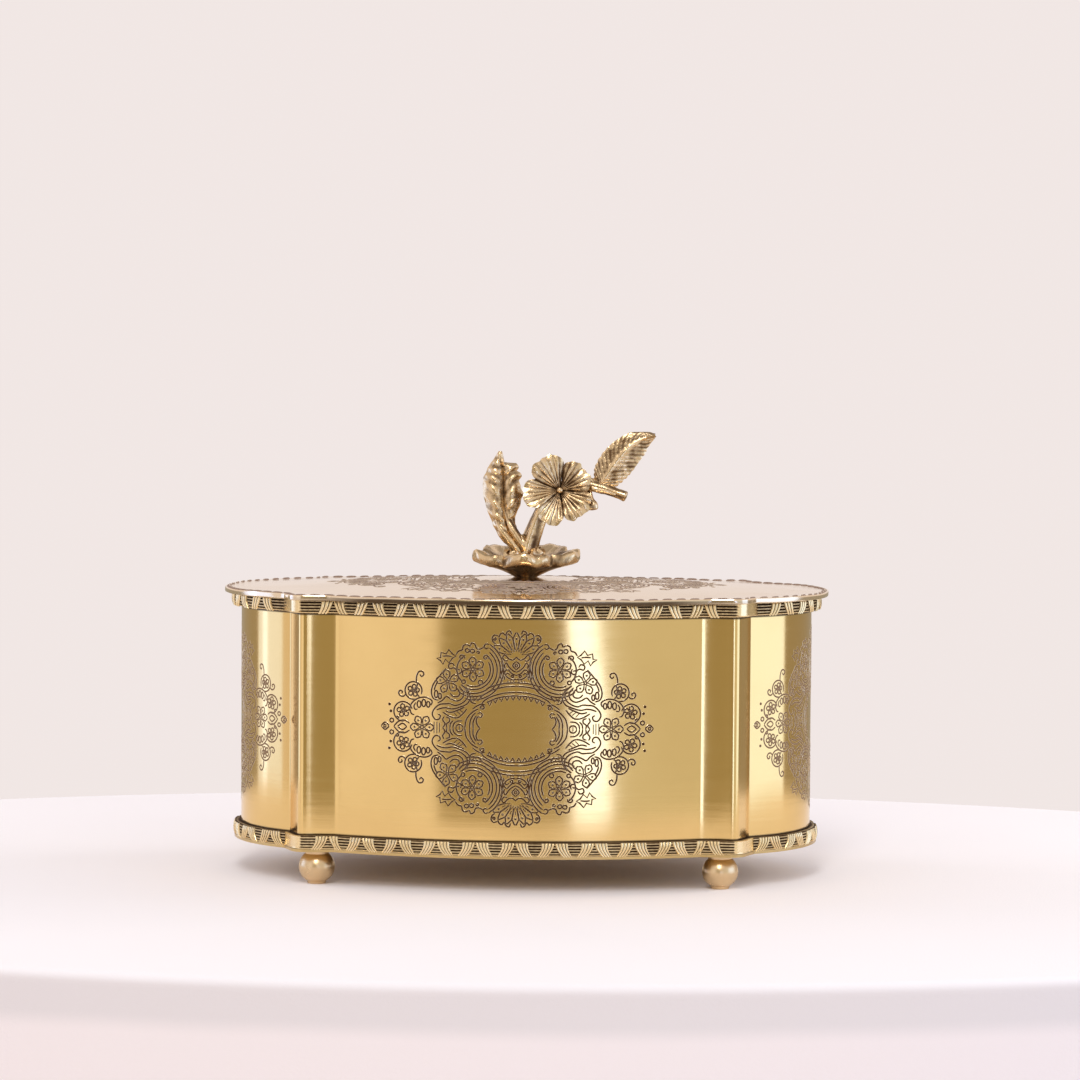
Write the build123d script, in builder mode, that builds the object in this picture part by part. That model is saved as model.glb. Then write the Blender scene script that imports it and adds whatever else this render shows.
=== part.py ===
from build123d import *
from math import cos, radians, sin
import os

os.makedirs("parts", exist_ok=True)

# Plan of the wall: a long lobe at the front and back, a short lobe at each end and an ear at each corner.
box_length = 241.8
box_width = 144.0
end_bulge = 25.8
front_bulge = 15.0
return_run = 5.2
return_depth = 12.3
facet_length = 15.0
facet_rise = 1.2
ear_radius = 4.0
bend_radius = 1.5

# Sheet brass of the wall, the floor and the lid.
sheet = 1.2
wall_height = 103.7

# Ball feet, each with a flat under it and a turned collar on top.
foot_height = 14.0
foot_diameter = 15.0
foot_belly = 7.0
foot_flat = 7.4
foot_shoulder_diameter = 11.6
collar_diameter = 10.4
collar_thickness = 1.4
foot_inset_from_ear = 6.5
foot_inset_from_front = 6.0

# Rounds of the small turned and cast pieces: sides round each ring, and rings from end to end.
turned_sides = 24
rod_sides = 12
ball_turns = (-70, -35, 0, 35, 70)
ball_steps = 4

# Screws of one size for the feet and the finial, and the finial's washer.
screw_diameter = 4.0
screw_head_diameter = 7.0
screw_head_height = 2.4
slot_width = 1.0
slot_depth = 1.0
screw_reach = 6.0
hole_clearance = 0.1
washer_diameter = 9.0
washer_thickness = 0.8

# Leaf borders round the foot and the mouth of the wall.
lower_border_height = 5.5
lower_border_depth = 3.5
lower_leaf_pitch = 8.0
upper_border_height = 6.5
upper_border_depth = 4.4
upper_leaf_pitch = 9.3
upper_border_drop = 0.4
floor_lip = 0.7
border_edge = 0.8
leaf_width = 3.6
leaf_lean = 1.5
leaf_rise = 0.5
leaf_root = 1.2
leaf_margin = 0.3

# Lid: a crowned plate that overhangs the borders, with a flange that drops inside the wall.
lid_overhang = 7.1
lid_end_bulge = 31.0
lid_front_bulge = 15.9
lid_return_run = 4.0
lid_return_depth = 11.0
lid_facet_rise = 0.8
lid_ear_radius = 7.0
lid_notch_radius = 6.0
crown_height = 2.8
crown_length = 200.0
crown_width = 104.0
crown_shares = (1.0, 0.72, 0.45, 0.16)
crown_sides = 36
flange_depth = 8.0
flange_sheet = 1.0
flange_clearance = 0.8

# Rosette dish under the spray.
rosette_diameter = 46.6
rosette_neck_diameter = 9.4
rosette_height = 11.9
rosette_petal_count = 5
rosette_petal_radius = 11.0
rosette_boss_diameter = 9.0
rosette_back_lift = 2.6

# Flower on the spray: five petals round a ball.
flower_diameter = 31.0
flower_petal_count = 5
flower_petal_turn = 41.0
flower_petal_radius = 7.8
flower_back_diameter = 6.0
flower_back_depth = 3.6
stamen_diameter = 2.8
stamen_lift = 0.7

# Rings of the two dishes of petals, from back to front: shares of the way out to the rim, and of the height.
petal_points = 10
rosette_outside_shares = ((0.0, 0.0), (0.0, 0.14), (0.4, 0.42), (0.75, 0.59), (1.0, 0.7))
rosette_inside_shares = ((1.0, 1.0), (0.7, 0.83), (0.35, 0.75), (0.0, 0.72))
flower_outside_shares = ((0.0, -1.0), (0.0, -0.44), (0.55, -0.11), (1.0, 0.44))
flower_inside_shares = ((1.0, 0.72), (0.55, 0.25), (0.0, 0.0))

# Stem, branch, bud and leaves of the spray.
stem_diameters = (6.8, 5.8, 5.0, 4.4, 3.8, 3.4, 3.2, 3.0, 4.4, 4.6, 3.0)
bud_diameter = 4.2
bud_stalk_diameter = 1.8
leaf_sheet = 1.5
leaf_fold = 0.18

# Places on the spray, as (right, back, up) from the middle of the rosette's seat on the lid.
stem_route = (
    (-0.8, 0.0, 7.4),
    (1.6, 0.0, 17.0),
    (5.2, 0.0, 26.5),
    (9.0, 0.0, 34.5),
    (15.5, 0.4, 40.2),
    (24.5, 0.4, 41.8),
    (33.0, 0.0, 39.6),
    (38.6, -0.4, 37.3),
    (39.8, -0.5, 36.8),
    (41.6, -0.6, 36.0),
    (42.8, -0.7, 35.4),
)
flower_place = (14.2, -5.2, 38.8)
flower_facing = (0.06, -1.0, 0.16)
bud_place = (27.6, -2.0, 32.2)
bud_stalk_foot = (26.2, 0.4, 41.0)
left_leaf_route = (
    (-1.2, -0.4, 10.0),
    (-3.4, -1.0, 15.5),
    (-6.4, -1.4, 21.8),
    (-8.9, -1.0, 28.5),
    (-10.0, 0.0, 38.7),
    (-10.5, 0.6, 45.8),
    (-10.8, 0.8, 50.8),
    (-10.9, 0.2, 54.8),
)
left_leaf_reach = (
    (1.2, 1.2),
    (1.8, 1.2),
    (4.6, 2.2),
    (6.4, 4.4),
    (8.4, 7.6),
    (6.8, 6.2),
    (3.6, 1.6),
    (0.5, 0.5),
)
right_leaf_route = (
    (31.2, 0.0, 41.2),
    (33.4, -0.4, 44.2),
    (37.2, -0.6, 49.8),
    (42.6, -0.2, 55.4),
    (48.8, 0.6, 60.4),
    (54.2, 1.4, 63.4),
)
right_leaf_reach = ((1.2, 1.2), (4.2, 4.6), (6.2, 6.4), (6.4, 6.4), (4.2, 4.2), (0.5, 0.5))

# Places and levels that follow from the sizes.
foot_spacing_x = 2 * (box_length / 2 - end_bulge - return_run - foot_inset_from_ear)
foot_spacing_y = 2 * (box_width / 2 - front_bulge - foot_inset_from_front)
floor_level = foot_height + sheet
mouth_level = floor_level + wall_height
lid_level = mouth_level + sheet
seat_level = lid_level + crown_height
screw_hole_radius = screw_diameter / 2 + hole_clearance


def ring(plane, length, width, height, sides):
    """Points round an oval that lies level with a plane, at a height above it."""
    turns = [radians(360 * i / sides) for i in range(sides)]
    return [plane.from_local_coords((length / 2 * cos(t), width / 2 * sin(t), height)) for t in turns]


def rings_solid(rings):
    """Solid of flat faces between matching rings of points. The first ring and the last are each flat."""
    faces = [Face(Wire.make_polygon(rings[0])), Face(Wire.make_polygon(rings[-1]))]
    for near, far in zip(rings, rings[1:]):
        for i in range(len(near)):
            faces.append(Face(Wire.make_polygon((near[i - 1], near[i], far[i]))))
            faces.append(Face(Wire.make_polygon((near[i - 1], far[i], far[i - 1]))))
    return Solid(Shell(faces))


def save(part, label):
    """Name a finished piece and write it."""
    part.label = label
    export_step(part, f"parts/{label}.step")


def mirrored(part, plane):
    """The same piece on the other side of a plane."""
    with BuildPart() as other:
        mirror(part, about=plane)
    return other.part


def mirrored_plan(plan):
    """The same outline at the other end of the box."""
    with BuildSketch() as other:
        mirror(plan, about=Plane.YZ)
    return other.sketch


def on_spray(place):
    """A place on the spray, counted from the middle of the seat, in the box's own frame."""
    return Vector(place) + Vector(0, 0, seat_level)


# Outlines in plan. Four lobes meet at each corner in a flat facet, an ear and a short return to the notch.
def cartouche(length, width, end, front, run, depth, rise):
    """Outline of that form, with its corners left sharp."""
    notch = (length / 2 - end, width / 2 - front + rise - depth)
    ear = (notch[0] - run, notch[1] + depth)
    crease = (ear[0] - facet_length, width / 2 - front)
    with BuildSketch() as plan:
        with BuildLine():
            Polyline(crease, ear, notch)
            mirror(about=Plane.XZ)
            ThreePointArc(notch, (length / 2, 0), (notch[0], -notch[1]))
            mirror(about=Plane.YZ)
            ThreePointArc(crease, (0, width / 2), (-crease[0], crease[1]))
            ThreePointArc((crease[0], -crease[1]), (0, -width / 2), (-crease[0], -crease[1]))
        make_face()
    return plan.sketch


def corners(plan, rank):
    """The four corners that are alike, ranked outwards along the box: crease, ear, notch."""
    return plan.vertices().group_by(lambda v: round(abs(v.X), 3))[rank]


wall_plan = cartouche(box_length, box_width, end_bulge, front_bulge, return_run, return_depth, facet_rise)


def grown(amount):
    """The wall's outline moved out by an amount, or in where it is negative, with its ears rounded."""
    with BuildSketch() as plan:
        add(wall_plan)
        if amount:
            offset(amount=amount, kind=Kind.INTERSECTION, mode=Mode.REPLACE)
        fillet(corners(plan, 1), ear_radius + amount)
    return plan.sketch


def bent(amount):
    """The same outline with the creases and notches rounded too, as the sheet is bent there."""
    with BuildSketch() as plan:
        add(grown(amount))
        fillet(corners(plan, 0), bend_radius - amount)
        fillet(corners(plan, -1), bend_radius - amount)
    return plan.sketch


# Wall: one strip of sheet bent round the plan.
with BuildPart() as body_wall:
    with BuildSketch(Plane.XY.offset(floor_level)):
        add(bent(0))
        add(bent(-sheet), mode=Mode.SUBTRACT)
    extrude(amount=wall_height)
save(body_wall.part, "body_wall")

# Floor: a plate under the wall whose edge shows below the lower border.
with BuildPart() as floor_plate:
    with BuildSketch(Plane.XY.offset(foot_height)):
        add(grown(lower_border_depth - floor_lip))
        with GridLocations(foot_spacing_x, foot_spacing_y, 2, 2):
            Circle(screw_hole_radius, mode=Mode.SUBTRACT)
    extrude(amount=sheet)
save(floor_plate.part, "floor_plate")


# Borders: strips with slanted leaves wrapped over them, in four lengths that meet in the notches.
def border_band(base, height, crest):
    """Closed band round the wall, bevelled along its crest."""
    profile = (
        (0, crest - border_edge),
        (border_edge, crest),
        (height - border_edge, crest),
        (height, crest - border_edge),
    )
    with BuildPart() as band:
        for up, out in profile:
            with BuildSketch(Plane.XY.offset(base + up)):
                add(grown(out))
        loft(ruled=True)
        with BuildSketch(Plane.XY.offset(base)):
            add(bent(0))
        extrude(amount=height, mode=Mode.SUBTRACT)
    return band.part


def end_wedge(crest):
    """Plan of the right end, cut off along the mitres that run out from its two notches."""
    notch = corners(wall_plan, -1).sort_by(Axis.X)[-1]
    mitre = corners(grown(crest), -1).sort_by(Axis.X)[-1]
    near = (notch.X, abs(notch.Y))
    reach = box_length / 2 / crest
    far = (near[0] + reach * (mitre.X - near[0]), near[1] + reach * (abs(mitre.Y) - near[1]))
    with BuildSketch() as plan:
        with BuildLine():
            Polyline(near, far, (far[0], -far[1]), (near[0], -near[1]), close=True)
        make_face()
    return plan.sketch


def leaf_planes(edges, base, pitch):
    """Planes that stand along some edges of a border's outline, facing out, one to a leaf."""
    planes = []
    for edge in edges:
        count = max(1, round(edge.length / pitch))
        for i in range(count):
            place = edge.position_at((i + 0.5) / count)
            along = edge.tangent_at((i + 0.5) / count)
            outward = Vector(along.Y, -along.X, 0)
            if outward.dot(place) < 0:
                outward = -outward
                along = -along
            foot = Vector(place.X, place.Y, base) - outward * leaf_root
            planes.append(Plane(origin=foot, x_dir=along, z_dir=outward))
    return planes


def wrap_leaves(planes, height):
    """Slanted leaves that lean left and right by turns."""
    low = leaf_margin
    high = height - leaf_margin
    half = leaf_width / 2
    for turn, lean in ((0, leaf_lean), (1, -leaf_lean)):
        with BuildSketch(*planes[turn::2]) as leaves:
            Polygon(
                (-half - lean, low),
                (half - lean, low),
                (half + lean, high),
                (-half + lean, high),
                align=None,
            )
        extrude(leaves.sketch, amount=leaf_root + leaf_rise)


def border_strips(base, height, depth, pitch):
    """The front strip, plain round its ears and returns, and the right strip."""
    crest = depth - leaf_rise
    band = border_band(base, height, crest)
    wedge = end_wedge(crest)
    outline = grown(crest)
    lobes = outline.edges().filter_by(GeomType.CIRCLE).sort_by(SortBy.LENGTH)[-4:]
    facets = outline.edges().filter_by(GeomType.LINE).sort_by(Axis.Y)[:2]
    with BuildPart() as front:
        add(band)
        wrap_leaves(leaf_planes([*facets, lobes.sort_by(Axis.Y)[0]], base, pitch), height)
        with BuildSketch(Plane.XY.offset(base)):
            add(wedge)
            add(mirrored_plan(wedge))
        extrude(amount=height, mode=Mode.SUBTRACT)
        split(bisect_by=Plane.XZ, keep=Keep.TOP)
    with BuildPart() as right:
        add(band)
        with BuildSketch(Plane.XY.offset(base)):
            add(wedge)
        extrude(amount=height, mode=Mode.INTERSECT)
        wrap_leaves(leaf_planes([lobes.sort_by(Axis.X)[-1]], base, pitch), height)
    return front.part, right.part


upper_border_base = mouth_level - upper_border_drop - upper_border_height
for name, base, height, depth, pitch in (
    ("lower", floor_level, lower_border_height, lower_border_depth, lower_leaf_pitch),
    ("upper", upper_border_base, upper_border_height, upper_border_depth, upper_leaf_pitch),
):
    front_strip, right_strip = border_strips(base, height, depth, pitch)
    save(front_strip, f"{name}_border_front")
    save(mirrored(front_strip, Plane.XZ), f"{name}_border_back")
    save(right_strip, f"{name}_border_right")
    save(mirrored(right_strip, Plane.YZ), f"{name}_border_left")

# Feet: turned balls, drilled from above for their screws.
for name, side_x, side_y in (
    ("front_left", -1, -1),
    ("front_right", 1, -1),
    ("back_left", -1, 1),
    ("back_right", 1, 1),
):
    collar_level = foot_height - collar_thickness
    upright = Plane(origin=(side_x * foot_spacing_x / 2, side_y * foot_spacing_y / 2, 0))
    side = ThreePointArc(
        (foot_flat / 2, 0), (foot_diameter / 2, foot_belly), (foot_shoulder_diameter / 2, collar_level)
    )
    outline = [side @ (i / ball_steps) for i in range(ball_steps + 1)]
    outline.append(Vector(collar_diameter / 2, collar_level))
    outline.append(Vector(collar_diameter / 2, foot_height))
    rings = [ring(upright, 2 * point.X, 2 * point.X, point.Y, turned_sides) for point in outline]
    with BuildPart() as foot:
        add(rings_solid(rings))
        with Locations(upright.offset(foot_height)):
            Hole(screw_hole_radius, depth=screw_reach + hole_clearance)
    save(foot.part, f"foot_{name}")

# Screws that hold the feet, inside the box on its floor.
def slotted_screws(seat, places, grip):
    """Screws with their heads on a seat plane, whose shanks pass the sheets that they grip."""
    with BuildPart() as screws:
        with BuildSketch(seat):
            with Locations(*places):
                Circle(screw_head_diameter / 2)
        extrude(amount=screw_head_height)
        with BuildSketch(seat.offset(screw_head_height)):
            with Locations(*places):
                Rectangle(screw_head_diameter, slot_width)
        extrude(amount=-slot_depth, mode=Mode.SUBTRACT)
        with BuildSketch(seat):
            with Locations(*places):
                Circle(screw_diameter / 2)
        extrude(amount=-grip - screw_reach)
    return screws.part


foot_axes = [(x * foot_spacing_x / 2, y * foot_spacing_y / 2) for x in (-1, 1) for y in (-1, 1)]
save(slotted_screws(Plane.XY.offset(floor_level), foot_axes, sheet), "foot_screws")


# Lid plate: its outline follows the wall's, and it rises to a low crown with a flat seat in the middle.
def crown(base):
    """Low oval swelling that leaves its base level and ends level at the seat."""
    level = Plane.XY.offset(base)
    rings = []
    for share in crown_shares:
        slope = (share - crown_shares[-1]) / (1 - crown_shares[-1])
        height = crown_height * (1 - slope**2) ** 2
        rings.append(ring(level, crown_length * share, crown_width * share, height, crown_sides))
    return rings_solid(rings)


with BuildPart() as lid_plate:
    with BuildSketch(Plane.XY.offset(mouth_level)) as lid_plan:
        add(
            cartouche(
                box_length + 2 * lid_overhang,
                box_width + 2 * lid_overhang,
                lid_end_bulge,
                lid_front_bulge,
                lid_return_run,
                lid_return_depth,
                lid_facet_rise,
            )
        )
        fillet(corners(lid_plan, 1), lid_ear_radius)
        fillet(corners(lid_plan, -1), lid_notch_radius)
    extrude(amount=sheet)
    add(crown(lid_level))
    add(crown(mouth_level), mode=Mode.SUBTRACT)
    with Locations((0, 0, seat_level)):
        Hole(screw_hole_radius)
save(lid_plate.part, "lid_plate")

# Flange: a strip on edge under the lid that drops inside the wall with a little play.
with BuildPart() as lid_flange:
    with BuildSketch(Plane.XY.offset(mouth_level)):
        add(bent(-sheet - flange_clearance))
        add(bent(-sheet - flange_clearance - flange_sheet), mode=Mode.SUBTRACT)
    extrude(amount=-flange_depth)
save(lid_flange.part, "lid_flange")


# Rosette and flower: cast dishes whose rims run round petals.
def petal_rim(diameter, petals, petal_radius, turn):
    """Points round the outline of round petals about a middle disc."""
    middle = diameter / 2 - petal_radius
    with BuildSketch() as plan:
        Circle(middle)
        with PolarLocations(middle, petals, start_angle=turn):
            Circle(petal_radius)
    count = petals * petal_points
    return [plan.wire() @ (i / count) for i in range(count)]


def dish(plane, rim, back_radius, outside, front_radius, inside, height, lift):
    """Rings from the middle of a dish's back out to its rim, and in again to the middle of its front."""
    rings = []
    for radius, stations in ((back_radius, outside), (front_radius, inside)):
        for share, height_share in stations:
            places = []
            for point in rim:
                reach = radius + (point.length - radius) * share
                rise = height * height_share + lift * share**2 * (1 + point.Y / point.length) / 2
                places.append(plane.from_local_coords(point.normalized() * reach + Vector(0, 0, rise)))
            rings.append(places)
    return rings_solid(rings)


with BuildPart() as rosette:
    add(
        dish(
            Plane.XY.offset(seat_level),
            petal_rim(rosette_diameter, rosette_petal_count, rosette_petal_radius, -90),
            rosette_neck_diameter / 2,
            rosette_outside_shares,
            rosette_boss_diameter / 2,
            rosette_inside_shares,
            rosette_height,
            rosette_back_lift,
        )
    )
    with Locations(Plane(origin=(0, 0, seat_level), z_dir=(0, 0, -1))):
        Hole(screw_hole_radius, depth=screw_reach + hole_clearance)
save(rosette.part, "rosette")

# The flower has a stub at its back, and a ball in its middle.
flower_side = Vector(-flower_facing[1], flower_facing[0], 0)
flower_plane = Plane(origin=on_spray(flower_place), x_dir=flower_side, z_dir=flower_facing)
with BuildPart() as flower:
    add(
        dish(
            flower_plane,
            petal_rim(flower_diameter, flower_petal_count, flower_petal_radius, flower_petal_turn),
            flower_back_diameter / 2,
            flower_outside_shares,
            stamen_diameter / 2,
            flower_inside_shares,
            flower_back_depth,
            0,
        )
    )
save(flower.part, "flower")


def ball(plane, diameter):
    """Cast ball about a plane's origin."""
    rings = []
    for turn in ball_turns:
        across = diameter * cos(radians(turn))
        rings.append(ring(plane, across, across, diameter / 2 * sin(radians(turn)), rod_sides))
    return rings_solid(rings)


with BuildPart() as stamen:
    add(ball(flower_plane.offset(stamen_lift), stamen_diameter))
    split(bisect_by=flower_plane, keep=Keep.TOP)
save(stamen.part, "stamen")


# Stem and branch: one casting, round in section, that thins towards the knob at the branch's end.
def directions(route):
    """The route's places, each with the way the route runs through it."""
    places = [on_spray(place) for place in route]
    ahead = places[1:] + places[-1:]
    behind = places[:1] + places[:-1]
    return [(place, (after - before).normalized()) for place, after, before in zip(places, ahead, behind)]


def rod(route, diameters):
    """Cast rod of round section along a route."""
    rings = []
    for (place, along), diameter in zip(directions(route), diameters):
        across = Plane(origin=place, x_dir=(0, 1, 0), z_dir=along)
        rings.append(ring(across, diameter, diameter, 0, rod_sides))
    return rings_solid(rings)


with BuildPart() as finial_stem:
    add(rod(stem_route, stem_diameters))
    add(flower.part, mode=Mode.SUBTRACT)
    add(rosette.part, mode=Mode.SUBTRACT)
save(finial_stem.part, "finial_stem")

# Bud: a small ball on a stalk that hangs from the branch.
with BuildPart() as bud:
    add(rod((bud_stalk_foot, bud_place), (bud_stalk_diameter, bud_stalk_diameter)))
    add(ball(Plane(origin=on_spray(bud_place)), bud_diameter))
    add(finial_stem.part, mode=Mode.SUBTRACT)
    add(flower.part, mode=Mode.SUBTRACT)
save(bud.part, "bud")


# Leaves: cast blades, folded along the midrib and filed to sit on the stem.
def blade(route, reaches):
    """Blade of V sections across a midrib, each with its own reach to the left and the right."""
    places = [on_spray(place) for place in route]
    span = places[-1] - places[0]
    along = Vector(span.X, 0, span.Z).normalized()
    across = Vector(along.Z, 0, -along.X)
    rings = []
    for place, (left, right) in zip(places, reaches):
        section = Plane(origin=place, x_dir=across, z_dir=along)
        outline = [
            (-left, -leaf_fold * left),
            (0, 0),
            (right, -leaf_fold * right),
            (right, leaf_sheet - leaf_fold * right),
            (0, leaf_sheet),
            (-left, leaf_sheet - leaf_fold * left),
        ]
        rings.append([section.from_local_coords((*point, 0)) for point in outline])
    return rings_solid(rings)


with BuildPart() as left_leaf:
    add(blade(left_leaf_route, left_leaf_reach))
    add(rosette.part, mode=Mode.SUBTRACT)
    add(finial_stem.part, mode=Mode.SUBTRACT)
save(left_leaf.part, "left_leaf")

with BuildPart() as right_leaf:
    add(blade(right_leaf_route, right_leaf_reach))
    add(finial_stem.part, mode=Mode.SUBTRACT)
save(right_leaf.part, "right_leaf")

# Screw and washer under the lid that pull the rosette down on its seat.
underside = seat_level - sheet
with BuildPart() as finial_washer:
    with BuildSketch(Plane.XY.offset(underside)):
        Circle(washer_diameter / 2)
        Circle(screw_hole_radius, mode=Mode.SUBTRACT)
    extrude(amount=-washer_thickness)
save(finial_washer.part, "finial_washer")

screw_seat = Plane(origin=(0, 0, underside - washer_thickness), z_dir=(0, 0, -1))
save(slotted_screws(screw_seat, [(0, 0)], washer_thickness + sheet), "finial_screw")
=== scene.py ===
import bpy
from math import asin, atan2, ceil, cos, degrees, hypot, pi, radians, sin, sqrt, tan
from mathutils import Euler, Matrix, Vector, noise


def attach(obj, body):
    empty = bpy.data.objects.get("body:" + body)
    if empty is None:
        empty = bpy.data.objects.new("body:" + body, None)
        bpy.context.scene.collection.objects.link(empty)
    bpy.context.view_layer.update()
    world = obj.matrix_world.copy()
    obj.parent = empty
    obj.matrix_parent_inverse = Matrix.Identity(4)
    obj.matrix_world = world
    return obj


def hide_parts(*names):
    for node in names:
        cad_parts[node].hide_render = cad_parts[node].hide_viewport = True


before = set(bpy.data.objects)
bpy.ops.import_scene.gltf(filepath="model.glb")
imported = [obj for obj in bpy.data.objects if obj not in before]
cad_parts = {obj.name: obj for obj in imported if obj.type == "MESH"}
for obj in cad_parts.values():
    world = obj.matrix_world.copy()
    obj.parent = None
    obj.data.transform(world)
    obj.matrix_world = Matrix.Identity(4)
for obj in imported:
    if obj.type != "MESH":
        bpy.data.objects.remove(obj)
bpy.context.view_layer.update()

# Wall. One strip of sheet brass, bent to a plan of four lobes with an ear at each corner, and satin polished.
# Its engraving and its borders are pieces of their own, below. It stands on the floor plate and is soldered
# to it.
mm = 0.001
merge_distance = 0.002 * mm
wall_foot = 15.2
wall_mouth = 118.9
wall_sheet = 1.2
front_radius = 194.5
end_radius = 53.73
half_length = 120.9
half_width = 72.0
wall_corners = ((74.9, 57), (89.9, 58.2), (95.1, 45.9))
ear_hollow = 0.75


def apart(p, q):
    """Length between two points of a plan."""
    return hypot(q[0] - p[0], q[1] - p[1])


def way_from(p, q):
    """Way from one point of a plan to another."""
    return Vector((q[0] - p[0], q[1] - p[1])).normalized()


def polar(x, y, radius, angle):
    """Point at a distance and an angle from another."""
    return x + radius * cos(angle), y + radius * sin(angle)


def arc_points(x, y, wide, high, start, end, step, least=2):
    """Points along an arc of a circle or an oval, angles in degrees."""
    count = max(least, ceil(abs(radians(end - start)) * max(wide, high) / step))
    turns = [radians(start + (end - start) * i / count) for i in range(count + 1)]
    return [(x + wide * cos(t), y + high * sin(t)) for t in turns]


def rounded(path, corner, radius, clear):
    """A path with one of its corners rounded, or with the points near it cleared away where the radius is 0."""
    at = path.index(corner)
    if not radius:
        return [p for p in path if p == corner or apart(p, corner) > clear]
    way_in, way_out = way_from(path[at - 1], corner), way_from(corner, path[at + 1])
    turn = way_in.angle(way_out)
    trim = radius * tan(turn / 2)
    side = 1 if way_in.x * way_out.y - way_in.y * way_out.x > 0 else -1
    begin = Vector(corner) - way_in * trim
    centre = begin + Vector((-way_in.y, way_in.x)) * side * radius
    first = degrees(atan2(begin.y - centre.y, begin.x - centre.x))
    bend = arc_points(*centre, radius, radius, first, first + side * degrees(turn), radius * 0.16)
    before, after = ([p for p in part if apart(p, corner) > trim * 1.15] for part in (path[:at], path[at + 1:]))
    return before + bend + after


def bow(half_chord, dip):
    """Radius of an arc over a chord, and half its angle."""
    radius = (half_chord**2 + dip**2) / 2 / dip
    return radius, degrees(asin(half_chord / radius))


def outline(length, width, corners, radii, step=1.3, clear=2.2):
    """Closed plan of the box or the lid: points with the way out of the plan, to be moved along it."""
    crease, ear, notch = corners
    radius, reach = bow(crease[0], width - crease[1])
    front = arc_points(0, width - radius, radius, radius, 90, 90 - reach, step)
    radius, reach = bow(notch[1], length - notch[0])
    end = arc_points(length - radius, 0, radius, radius, reach, 0, step)
    path = front[:-1] + [crease, ear, notch] + end[1:]
    for corner, rounding in zip(corners, radii):
        path = rounded(path, corner, rounding, clear)
    path += [(x, -y) for x, y in reversed(path[:-1])]
    path += [(-x, y) for x, y in reversed(path[1:-1])]
    split = []
    for (x, y), (next_x, next_y) in zip(path, path[1:] + path[:1]):
        parts = max(1, round(hypot(next_x - x, next_y - y) / step))
        split += [(x + (next_x - x) * k / parts, y + (next_y - y) * k / parts) for k in range(parts)]
    ways = []
    for before, here, after in zip(split[-1:] + split, split, split[1:] + split[:1]):
        way_in, way_out = way_from(before, here), way_from(here, after)
        way = (way_in + way_out) / (1 + way_in.dot(way_out))
        ways.append(Vector((-way.y, way.x)))
    return split, ways


def picked(*pieces):
    """Pick pieces for the next step, the first of them the active one."""
    bpy.ops.object.select_all(action="DESELECT")
    for piece in reversed(pieces):
        piece.select_set(True)
        bpy.context.view_layer.objects.active = piece


def laid_grid(name, columns, rows, place, angle=35):
    """A grid of faces, each corner put in its place. Its last number is how dark the surface is there: patina in
    its hollows, and painted shade on some pieces.
    """
    picked()
    bpy.ops.mesh.primitive_grid_add(x_subdivisions=columns, y_subdivisions=rows, size=2)
    piece = bpy.context.object
    piece.name = name
    piece.data.name = name
    patina_and_shade = piece.data.attributes.new("patina_and_shade", "FLOAT", "POINT")
    for vertex, value in zip(piece.data.vertices, patina_and_shade.data):
        x, y, z, value.value = place(*(round((c + 1) / 2 * n) for c, n in zip(vertex.co, (columns, rows))))
        vertex.co = (x * mm, y * mm, z * mm)
    bpy.ops.object.mode_set(mode="EDIT")
    bpy.ops.mesh.select_all(action="SELECT")
    bpy.ops.mesh.remove_doubles(threshold=merge_distance)
    bpy.ops.mesh.normals_make_consistent(inside=False)
    bpy.ops.object.mode_set(mode="OBJECT")
    bpy.ops.object.shade_smooth_by_angle(angle=radians(angle))
    return piece


class Shade:
    """One socket of a finish, so that its maths reads as arithmetic."""

    def __init__(self, finish, socket):
        self.finish = finish
        self.socket = socket

    def math(self, operation, *values):
        return self.finish.node("Math", {"operation": operation}, *values)

    def __add__(self, other):
        return self.math("ADD", self, other)

    def __sub__(self, other):
        return self.math("SUBTRACT", self, other)

    def __rsub__(self, other):
        return self.math("SUBTRACT", other, self)

    def __mul__(self, other):
        return self.math("MULTIPLY", self, other)

    __radd__ = __add__


class Finish:
    """A finish for a piece, made of nodes."""

    def __init__(self, name):
        self.material = bpy.data.materials.new(name)
        self.material.use_nodes = True
        self.tree = self.material.node_tree
        self.metal = self.tree.nodes["Principled BSDF"]
        self.where = self.node("TexCoord", {}, out="Object")

    def node(self, kind, settings, *values, out=0, **named):
        made = self.tree.nodes.new("ShaderNode" + kind)
        for key, setting in settings.items():
            setattr(made, key, setting)
        for key, value in [*enumerate(values), *named.items()]:
            self.feed(made.inputs[key], value)
        return Shade(self, made.outputs[out])

    def feed(self, socket, value):
        if isinstance(value, Shade):
            self.tree.links.new(value.socket, socket)
        else:
            socket.default_value = value

    def patina_and_shade(self):
        """How dark the surface is, as its grid was laid: patina in hollows, and painted shade on some pieces."""
        return self.node("Attribute", {"attribute_name": "patina_and_shade"}, out="Fac")

    def mottle(self, scale, detail=3, stretch=(1, 1, 1)):
        """Noise from 0 to 1, with the number of its swirls in a metre."""
        spread = self.node("VectorMath", {"operation": "MULTIPLY"}, self.where, stretch)
        return self.node("TexNoise", {}, Vector=spread, Scale=scale, Detail=detail, Roughness=0.55)

    def blend(self, share, first, second):
        """Colour between two others."""
        mixed = self.node("Mix", {"data_type": "RGBA"}, out=2)
        for key, value in ((0, share), (6, first), (7, second)):
            self.feed(mixed.socket.node.inputs[key], value)
        return mixed

    def step(self, value, low, high):
        """0 below one value, 1 above another and smooth between."""
        return self.node("MapRange", {"interpolation_type": "SMOOTHSTEP"}, value, low, high)

    def bump(self, height, depth):
        """Relief of a depth in millimetres."""
        return self.node("Bump", {}, Height=height, Distance=depth * mm)

    def set(self, **named):
        for key, value in named.items():
            self.feed(self.metal.inputs[key.replace("_", " ")], value)
        return self.material


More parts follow.
